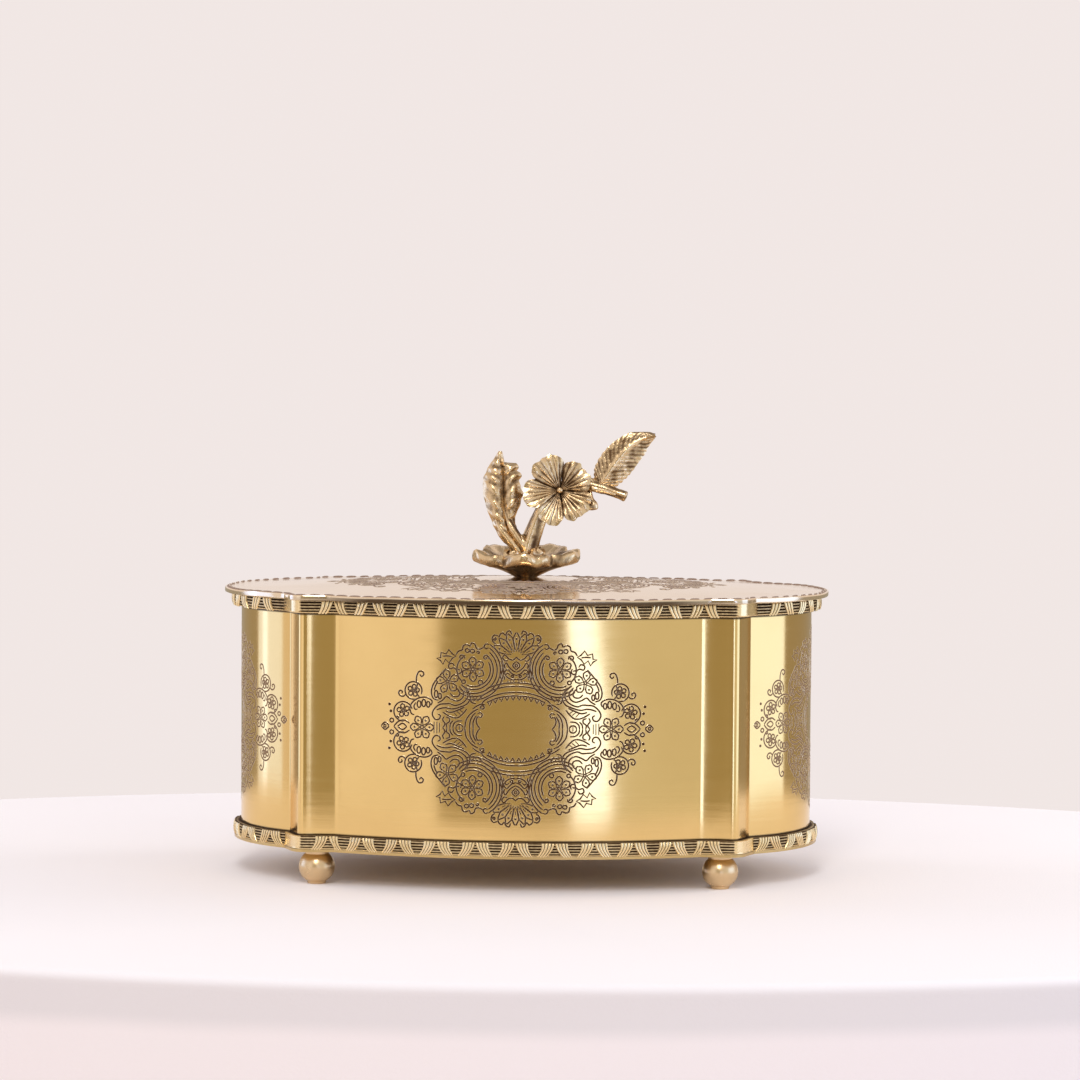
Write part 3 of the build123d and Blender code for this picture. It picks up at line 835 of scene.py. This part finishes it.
def casting(piece, thickness, rough):
    """Give a casting its thickness and the uneven skin that the sand mould leaves, dark where it is low."""
    picked(piece)
    if thickness:
        sheet = piece.modifiers.new("thickness", "SOLIDIFY")
        sheet.thickness = thickness * mm
        sheet.offset = 0
        bpy.ops.object.modifier_apply(modifier="thickness")
    mesh = piece.data
    ways = [vertex.normal.copy() for vertex in mesh.vertices]
    for vertex, way, value in zip(mesh.vertices, ways, mesh.attributes["patina_and_shade"].data):
        lump = noise.noise(vertex.co * 380) + 0.6 * noise.noise(vertex.co * 900)
        vertex.co += way * (lump * rough * mm)
        value.value -= 0.4 * lump
    bpy.ops.object.shade_smooth_by_angle(angle=radians(65))
    return piece


# Rows of the dish from its seat, out under the petals, over their rim and back in: share of the reach and
# level.
dish_rows = [
    (0, 0), (0, 0.9), (0, 1.7), (0.12, 3), (0.3, 4.3), (0.5, 5.4), (0.72, 6.2), (0.88, 6.8), (0.97, 7.4),
    (1, 8.2), (1.005, 9.8), (0.99, 11.2), (0.94, 12), (0.85, 11.8), (0.75, 10.7), (0.58, 9.8), (0.4, 9.3),
    (0.22, 9.1), (0.08, 9.1), (0, 9),
]


def on_dish(i, j):
    """The dish, with a waved rim that stands higher at the back."""
    share, level = dish_rows[j]
    a = 2 * pi * i / dish_facets
    wave = 0.45 * sin(11 * a + 0.4) + 0.35 * sin(17 * a + 2.0) + 0.3 * sin(7 * a + 1.1)
    off = (a - radians(dish_turn) + pi / dish_petals) % (2 * pi / dish_petals) - pi / dish_petals
    rim = sqrt(max(0.0, dish_petal_radius**2 - (dish_petal_middle * sin(off)) ** 2))
    rim = dish_petal_middle * cos(off) + rim + wave * 0.5
    inside = j > 12
    near = 2.0 if inside else 4.7
    reach = near + (rim - near) * share
    if j in (0, len(dish_rows) - 1):
        reach = 0.0 if j else 3.0
    ridge = cos(dish_petals * (a - radians(dish_turn)))
    cup = 1.1 * share**3 * ridge
    level += 2.4 * share**2 * (1 + sin(a)) / 2 + (cup if inside else cup * 0.7) + wave * share**4 * 1.1
    valley = 0.5 - 0.5 * ridge
    patina_and_shade = 0.6 * valley * share + (0.6 if inside else 0.45) * max(0.0, 1 - share) ** 0.7
    # Painted shade under the dish: its lower rows, which face down, are darker.
    patina_and_shade += 0.2 if j < 8 else 0
    return *polar(-0.3, 0, min(reach, dish_limit), a), seat + level, patina_and_shade


dish = casting(laid_grid("rosette_dish", dish_facets, len(dish_rows) - 1, on_dish, 60), 0, 0.3)


def small_petal(angle, reach, half, rise):
    """A small petal that curls up round the foot of the stem."""
    def place(i, j):
        along, across = j / 9, i / 5 - 1
        a = radians(angle)
        r = 2.0 + reach * sin(along * pi * 0.7)
        s = across * half * sin(pi * (0.14 + 0.8 * along)) ** 0.6
        z = seat + 8.8 + rise * along**1.3 + 1.1 * across**2 * along
        x, y = r * cos(a) - s * sin(a) - 0.6, r * sin(a) + s * cos(a)
        return x, y, z, 0.7 * (1 - along) + 0.2 * (1 - abs(across))
    return casting(laid_grid("curled_petal", 10, 9, place, 60), 1.5, 0.25)


curls = ((-48, 6, 3.4, 4), (-122, 5.4, 3.2, 3), (18, 5.6, 3.2, 4.2), (90, 5, 3, 3.4), (165, 6.2, 3.4, 3.6))
rosette = joined("rosette_petals", [dish, *(small_petal(*measures) for measures in curls)])


def span_at(row, t):
    """The four neighbours of a place in an even row, with t from 0 to 1, and its share between the middle two."""
    spans = len(row) - 1
    k = min(int(t * spans), spans - 1)
    return [row[min(max(k + n, 0), spans)] for n in (-1, 0, 1, 2)], t * spans - k


def route_point(route, t):
    """Place on a smooth line through points and the way the line runs there."""
    spots, f = span_at(route, t)
    a, b, c, d = (Vector(spot) for spot in spots)
    way = 0.5 * ((c - a) + 2 * (2 * a - 5 * b + 4 * c - d) * f + 3 * (3 * b - a - 3 * c + d) * f**2)
    return between(a, b, c, d, f), way.normalized()


def blended(values, t):
    """Width between those of an even row."""
    near, f = span_at(values, t)
    return max(0.15, between(*near, f))


def cast_rod(name, route, widths, rows, ridges, turns, rough=0.2):
    """Cast rod along a route, with ridges that wind round it and a rounded end."""
    def place(i, j):
        t = j / rows
        middle, way = route_point(route, t)
        up = way.cross(Vector((0, 1, 0))).normalized()
        side = up.cross(way).normalized()
        a = 2 * pi * i / rod_facets
        ridge = sin(ridges * a + 2 * pi * turns * t)
        near = min(1.0, min(j, rows - j) / 3)
        r = blended(widths, t) / 2 * (1 + 0.09 * ridge) * sqrt(1 - (1 - near) ** 2)
        spot = middle + side * cos(a) * r + up * sin(a) * r
        return spot.x, spot.y, seat + spot.z, 0.42 - 0.42 * ridge
    return casting(laid_grid(name, rod_facets, rows, place, 60), 0, rough)


stem_route = ((-0.8, 0, 7.4), (-0.2, 0, 11.5), (1.6, 0, 17), (5.2, 0, 26.5), (9, 0.4, 34.5), (15.5, 0.6, 40.2),
              (24.5, 0.4, 41.8), (33, 0, 39.6), (38.6, -0.4, 37.4), (42.4, -0.7, 35.9))
stem_widths = (9.5, 8.6, 7.6, 6.7, 5.8, 4.9, 4.8, 4.5, 3.9, 4.9)
stem = cast_rod("cast_stem", stem_route, stem_widths, 72, 4, 1.6)
web_route = ((0.4, -0.6, 10.6), (-0.9, -0.9, 14.4), (-2, -0.8, 17.4), (-2.6, -0.6, 19.8))
web = cast_rod("web", web_route, (6.6, 6.8, 6.0, 4.2), 20, 2, 0.4)
strand_routes = (
    ((0.6, -1.6, 10.4), (-1.4, -2.2, 15), (-5, -2.2, 20.8), (-7.8, -1.8, 26.4), (-9.4, -1.4, 32)),
    ((-2, -1.2, 9.6), (-5, -1.6, 14.6), (-9.4, -1.8, 20.2), (-12.2, -1.6, 25.6), (-14.2, -1, 31)),
)
strands = [cast_rod("strand", route, (4.0, 4.3, 3.7, 2.4, 0.9), 26, 2, 0.8) for route in strand_routes]
heel_route = ((25.6, 0, 40.4), (28.4, -1.4, 39.6), (33, -1.6, 38.4), (38, -1.4, 36.6))
heel = cast_rod("heel", heel_route, (3.2, 3.4, 3.0, 2.0), 20, 2, 0.5)
stem = joined("stem_and_branch", [stem, *strands, web, heel])


def veined_leaf(name, route, left, right, shape, rows):
    """Cast leaf on a midrib, with ribs out to a notched edge. The shape gives its relief and its curl."""
    def place(i, j):
        t, across = j / rows, i / leaf_half_columns - 1
        middle, way = route_point(route, t)
        side = Vector((way.z, 0, -way.x)).normalized()
        reach = blended(right if across > 0 else left, t)
        notch, relief, patina_and_shade = shape(t, across, reach)
        spot = middle + side * across * reach * notch + Vector((0, -1, 0)) * relief
        return spot.x, spot.y, seat + min(spot.z, leaf_top), patina_and_shade
    return casting(laid_grid(name, 2 * leaf_half_columns, rows, place, 70), 1.3, 0.11)


def left_shape(t, across, reach):
    """Relief of the folded leaf: a deep valley, lobes with slanting veins and a ragged top to its right lobe."""
    far = abs(across)
    vein = (t * 11 - far * reach * 0.16) % 1
    rib = max(0.0, 1 - abs(vein - 0.5) * 3.4) * min(1.0, far * 4)
    valley = max(0.0, 1 - far * 3.2)
    ragged = 1 + (0.10 * sin(52 * t) + 0.06 * sin(83 * t + 1)) * (1 if across > 0 and t > 0.6 else 0.2)
    if across > 0:
        ragged *= min(1.0, max(0.10, 1 - (t - 0.865) * 60 + 0.5 * sin(7 * far)))
    lobe = sin(pi * min(1.0, far)) ** 0.8 * min(1.0, reach / 6)
    relief = 1.8 * lobe + 0.5 * rib - 0.9 * far**3 * min(1.0, reach / 6) - 0.4 * valley
    return ragged, relief, 0.55 * valley + 0.55 * (1 - rib) * min(1.0, far * 3) - 0.3 * far**4


def right_shape(t, across, reach):
    """Relief of the flat leaf: a raised midrib and close slanting veins, each broken into beads."""
    far = abs(across)
    vein = (t * 15 - far * 2.8) % 1
    rib = max(0.0, 1 - abs(vein - 0.5) * 3.0)
    mid = max(0.0, 1 - far * 6)
    beads = 0.5 + 0.5 * sin(34 * far + 3 * t)
    relief = 0.34 * rib * (1 - mid) * (0.6 + 0.4 * beads) + 0.6 * mid - 1.1 * far**2 + 0.5 * sin(6 * t) * across
    patina_and_shade = 0.36 + 0.55 * (1 - rib) * (1 - mid) * far**0.3 - 0.5 * mid - 0.5 * far**6
    return 1 + 0.014 * sin(80 * t) * far, relief, patina_and_shade


left_route = ((-0.4, -0.8, 11.3), (-2.8, -1, 14.9), (-7, -1, 21), (-8.8, -0.8, 26.4), (-9.7, -0.4, 33.7),
              (-9.9, 0.2, 42.2), (-10.4, 0.4, 48.2), (-11.3, 0.2, 54.7))
left_out = (1.4, 3, 4.6, 5.6, 7.6, 8.4, 5.8, 0.2)
left_in = (1, 1.3, 1.7, 2.2, 2.8, 3, 3.5, 5.2, 6.9, 6.9, 6.5, 6.2, 5.8, 3, 0.2)
left_leaf = veined_leaf("leaf_left", left_route, left_out, left_in, left_shape, 84)
right_route = ((30.8, -0.4, 40.8), (33.4, -0.8, 44.4), (37.2, -0.6, 50.2), (41.9, -0.2, 55.8), (47.7, 0.6, 60.2),
               (54, 1.2, 62.1))
right_out = (2.2, 5.6, 6.4, 5.7, 3.7, 0.2)
right_in = (2.6, 6, 7.6, 7.2, 5.2, 0.2)
right_leaf = veined_leaf("leaf_right", right_route, right_out, right_in, right_shape, 66)

flower_middle = Vector((14.2, -5.2, 38.8))
flower_facing = Vector((0.06, -1.0, 0.16)).normalized()
flower_side = Vector((1.0, 0.06, 0)).normalized()
flower_up = flower_side.cross(flower_facing) * -1
flower_facets = 280
grooves = (81, 157, 222, 279, 357, 441)
petal_foot = 11.0
petal_tips = (15.2, 15.6, 15.5, 14.3, 13.7)
petal_flats = (3.4, 2.4, 2.2, 3.6, 3)
petal_leans = (0.9, 0.6, -0.7, 0.8, -0.6)
# Painted shade on each petal; the two on the right are darkest.
petal_painted_shade = (0.04, 0, 0.04, 0.16, 0.3)
face_rows = 14
# Rows of the flower from its middle out over its face, then in over its back: share of the petals and depth
# behind.
flower_rows = [(k / face_rows, 0) for k in range(face_rows + 1)]
flower_rows += [(1.005, 0.6), (0.98, 1.1), (0.8, 1.35), (0.5, 1.6), (0.2, 2), (0.2, 3.6), (0, 3.6)]


def flower_spot(x, y, z):
    """Place on the flower: right, up and out of its face."""
    spot = flower_middle + flower_side * x + flower_up * y + flower_facing * z
    return spot.x, spot.y, seat + spot.z


def on_flower(i, j):
    """Five fans of ribs round a sunk middle, with deep grooves between them, and the plain back behind."""
    share, back = flower_rows[j]
    turn = grooves[0] + 360 * i / flower_facets
    k = min(sum(turn >= groove for groove in grooves) - 1, 4)
    across = 2 * (turn - grooves[k]) / (grooves[k + 1] - grooves[k]) - 1
    edge = petal_foot + (petal_tips[k] - petal_foot) * max(0.0, 1 - abs(across) ** petal_flats[k]) ** 0.7
    edge += (0.35 * sin(0.19 * turn + k) + 0.2 * sin(0.43 * turn)) * max(0.0, 1 - abs(across) ** 6)
    rib = abs(cos(3.5 * pi * across)) ** 0.8
    groove = max(0.0, abs(across) - 0.62) / 0.38
    r = share * (edge + 0.2 * rib * share**4)
    flare = 2.2 - 1.7 * max(0.0, cos(radians(turn - 5)))
    cup = -1.7 * (1 - share) ** 3 + flare * share**1.6 - 0.35 * max(0.0, share - 0.85) / 0.15
    z = cup + 0.42 * rib * sin(pi * min(1.0, share * 1.02)) ** 0.5 - 1.5 * groove**1.6 * sin(pi * share**0.8)
    z += petal_leans[k] * across * share + 0.35 * sin(2.2 * pi * across + k) * share**2
    patina_and_shade = 0.62 * (1 - rib) * min(1.0, share * 2) + 0.42 * groove + 0.6 * (1 - share) ** 1.6
    # Painted shade on the right-hand petals, less towards their rims.
    patina_and_shade += petal_painted_shade[k] * (1 - 0.4 * share)
    if j > face_rows:
        z, patina_and_shade = z * (share > 0.3) - back, 0.5
        r = share * edge
    return *flower_spot(*polar(0, 0, r, radians(turn)), z), patina_and_shade


flower = casting(laid_grid("open_flower", flower_facets, len(flower_rows) - 1, on_flower, 60), 0, 0.1)


def on_stamen(i, j):
    """The ball in the flower's middle."""
    a, b = 2 * pi * i / 24, -pi / 2 + pi * j / 12
    return *flower_spot(*polar(0, 0, 1.4 * cos(b), a), -0.2 + 1.4 * sin(b)), 0.4 * (1 - sin(b))


stamen = laid_grid("flower_ball", 24, 12, on_stamen, 60)

bud_route = ((26.2, 0.4, 41), (26.6, -0.6, 38), (27.2, -1.6, 35), (27.7, -2, 32.6), (27.9, -2.1, 30.2))
bud = cast_rod("bud_on_stalk", bud_route, (2.4, 2.2, 2.6, 4.9, 4.6), 26, 3, 0.3, 0.12)
for piece, node in (
    (rosette, "rosette"),
    (stem, "finial_stem"),
    (left_leaf, "left_leaf"),
    (right_leaf, "right_leaf"),
    (flower, "flower"),
    (stamen, "stamen"),
    (bud, "bud"),
):
    clad(piece, cast_brass, [node], "lid")

# Table. A pale cloth lies over an oval table and rolls down over its edge, where its hanging side is painted
# darker as shade. The plain studio wall beyond is the world's own pale colour.
picked()
bpy.ops.mesh.primitive_circle_add(vertices=180, radius=1, fill_type="NGON", location=(0, 0, 0))
table = bpy.context.object
table.name = "table_top"
bpy.ops.object.mode_set(mode="EDIT")
bpy.ops.mesh.select_all(action="SELECT")
bpy.ops.transform.resize(value=(0.45, 0.292, 1), center_override=(0, 0, 0))
bpy.ops.transform.translate(value=(0, -0.007, 0))
bpy.ops.mesh.extrude_region_move(TRANSFORM_OT_translate={"value": (0, 0, -0.5)})
bpy.ops.mesh.select_all(action="SELECT")
bpy.ops.mesh.normals_make_consistent(inside=False)
bpy.ops.object.mode_set(mode="OBJECT")
edge = table.modifiers.new("rolled_edge", "BEVEL")
edge.width = 0.005
edge.segments = 8
edge.limit_method = "ANGLE"
bpy.ops.object.modifier_apply(modifier="rolled_edge")
bpy.ops.object.shade_smooth_by_angle(angle=radians(40))
cloth = Finish("pale_cloth")
weave = cloth.mottle(900, 2)
folds = cloth.mottle(6, 2)
drop = cloth.node("SeparateXYZ", {}, cloth.where, out=2)
lying = cloth.blend(folds, (0.95, 0.915, 0.93, 1), (0.925, 0.89, 0.905, 1))
# Painted shade on the hanging side of the cloth: darkest just under the roll, lighter lower down.
below_roll = cloth.step(drop + folds * 0.006, -0.019, -0.011)
hanging_painted_shade = cloth.blend(below_roll, (0.87, 0.785, 0.775, 1), (0.75, 0.69, 0.685, 1))
cloth_white = cloth.set(
    Base_Color=cloth.blend(cloth.step(drop, -0.004, -0.0003), hanging_painted_shade, lying),
    Roughness=0.9,
    Normal=cloth.bump(weave, 0.1),
)
table.data.materials.append(cloth_white)

world = bpy.data.worlds.new("pale_studio")
bpy.context.scene.world = world
world.use_nodes = True
world.node_tree.nodes["Background"].inputs["Color"].default_value = (0.88, 0.80, 0.78, 1)

# Studio. Curved screens stand round the table: white and grey ones, a dark curtain beside the photographer, a
# bright strip, and a window on each side, with a faint ceiling above. They show in the brass and not in the
# picture. A soft box hangs over the front, and two low ones at the sides light the cloth and don't show in
# the brass.


def glowing(name, glow):
    """Dark stuff that only glows."""
    return Finish(name).set(
        Base_Color=(0.02, 0.02, 0.02, 1),
        Roughness=1.0,
        Emission_Color=(*glow, 1),
        Emission_Strength=1.0,
    )


def screen(name, edges, low, high, reach, glow):
    """Curved screen between two bearings from the front, given at its foot and at its top."""
    columns = ceil(abs(edges[1] - edges[0]) / 2)

    def place(i, j):
        start, end = edges[0] + (edges[2] - edges[0]) * j, edges[1] + (edges[3] - edges[1]) * j
        a = radians(start + (end - start) * i / columns)
        return reach * sin(a) / mm, -reach * cos(a) / mm, (high if j else low) / mm, 0.0

    piece = laid_grid(name, columns, 1, place)
    piece.data.materials.append(glowing(name, glow))
    piece.visible_camera = False


screen("white_screen", (-51, -23, -51, -23), -0.6, 1.0, 2.5, (1.02, 0.98, 1.02))
screen("dark_curtain", (-23, 13.5, -23, -2.6), -0.6, 1.4, 2.5, (0.40, 0.345, 0.215))
screen("bright_strip", (13.9, 26.2, 6.7, 10.2), -0.45, 0.35, 2.3, (1.9, 2.4, 4.0))
screen("grey_screen", (16, 56, 16, 56), -0.6, 1.2, 2.5, (0.75, 0.75, 0.72))
screen("right_window", (57, 102, 57, 102), -0.7, 1.0, 2.4, (1.3, 1.6, 2.3))
screen("right_drape", (103, 168, 103, 168), -0.9, 0.12, 2.4, (0.37, 0.33, 0.26))
screen("left_window", (-104, -97, -104, -97), -0.7, 1.0, 2.3, (1.5, 1.9, 3.2))
screen("left_blind", (-111, -78, -111, -78), -0.7, 1.0, 2.4, (1.1, 1.28, 1.9))
screen("left_drape", (-168, -112, -168, -112), -0.9, 0.12, 2.4, (0.39, 0.35, 0.28))

picked()
bpy.ops.mesh.primitive_circle_add(vertices=48, radius=1.9, fill_type="NGON", location=(0, 0.3, 2.1))
ceiling = bpy.context.object
ceiling.name = "ceiling"
ceiling.data.materials.append(glowing("ceiling", (0.42, 0.385, 0.365)))
ceiling.visible_camera = False


def soft_light(name, place, width, height, level):
    """Rectangular soft light turned to the box, whose face has a plain level of brightness."""
    lamp = bpy.data.lights.new(name, "AREA")
    lamp.shape = "RECTANGLE"
    lamp.size = width
    lamp.size_y = height
    lamp.energy = level * width * height * pi
    stand = placed(name, lamp)
    stand.location = place
    stand.rotation_euler = (-Vector(place)).to_track_quat("-Z", "Y").to_euler()
    stand.visible_camera = False
    return stand


soft_light("front_soft_box", (-0.1, -1.55, 1.6), 0.42, 1.4, 8.4)
soft_light("right_soft_box", (1.15, 0.3, 0.42), 0.5, 0.5, 7.0).visible_glossy = False
soft_light("left_soft_box", (-1.15, 0.3, 0.42), 0.5, 0.5, 4.4).visible_glossy = False

# Camera, at the photograph's place: it looks down a little, from a little to the right, and leans by a hair.
camera_dip = 3.052
camera_turn = 3.058 - 0.193
camera_lean = 0.379
camera = placed("camera", bpy.data.cameras.new("camera"))
camera.data.lens = 132.5
camera.data.sensor_width = 36
camera.matrix_world = (
    Matrix.Translation((0.08977, -1.6804, 0.230))
    @ Euler((radians(90 - camera_dip), 0, radians(camera_turn))).to_matrix().to_4x4()
    @ Matrix.Rotation(radians(camera_lean), 4, "Z")
)
camera.data.clip_start = 0.05
bpy.context.scene.camera = camera
bpy.context.scene.view_settings.view_transform = "Standard"
